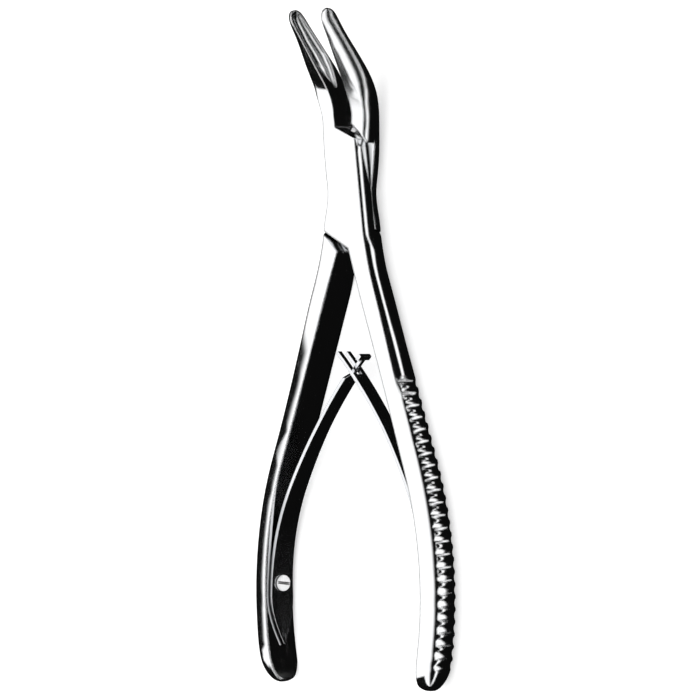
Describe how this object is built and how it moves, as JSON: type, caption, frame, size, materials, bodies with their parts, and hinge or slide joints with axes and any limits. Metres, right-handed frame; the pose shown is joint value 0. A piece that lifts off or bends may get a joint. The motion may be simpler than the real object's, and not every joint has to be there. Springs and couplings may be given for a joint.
{
  "type": "bone rongeur",
  "caption": "Single-action bone rongeur: two crossing polished steel limbs with cupped, forward-bent jaws, ribbed bow handles and an interlocked double leaf spring.",
  "frame": {"origin": "middle of the bounding box's footprint, on the flat surface that the instrument lies on with its jaws pointing up", "axes": "+Y along the length toward the jaws, +Z toward the front, which the jaws bend to, and parallel to the hinge axis, +X toward the handle of the front limb"},
  "size_m": [0.0586, 0.1394, 0.0162],
  "materials": {
    "limb_steel": "mirror-polished stainless steel",
    "spring_steel": "polished spring steel",
    "screw_steel": "polished stainless steel"
  },
  "bodies": {
    "front_half": {"front_limb": "limb_steel", "pivot_screw": "screw_steel", "fork_spring": "spring_steel", "fork_spring_screw": "screw_steel"},
    "rear_half": {"rear_limb": "limb_steel", "tongue_spring": "spring_steel", "tongue_spring_screw": "screw_steel"}
  },
  "joints": [
    {"name": "jaw_hinge", "type": "hinge", "parent": "front_half", "child": "rear_half", "pos_m": [0, 0.03294, 0.0035], "axis": [0, 0, 1], "range_deg": [0, 15.6], "stiffness_Nm_per_rad": 2, "springref_deg": -2.86, "deforming": ["fork_spring", "tongue_spring"]}
  ]
}
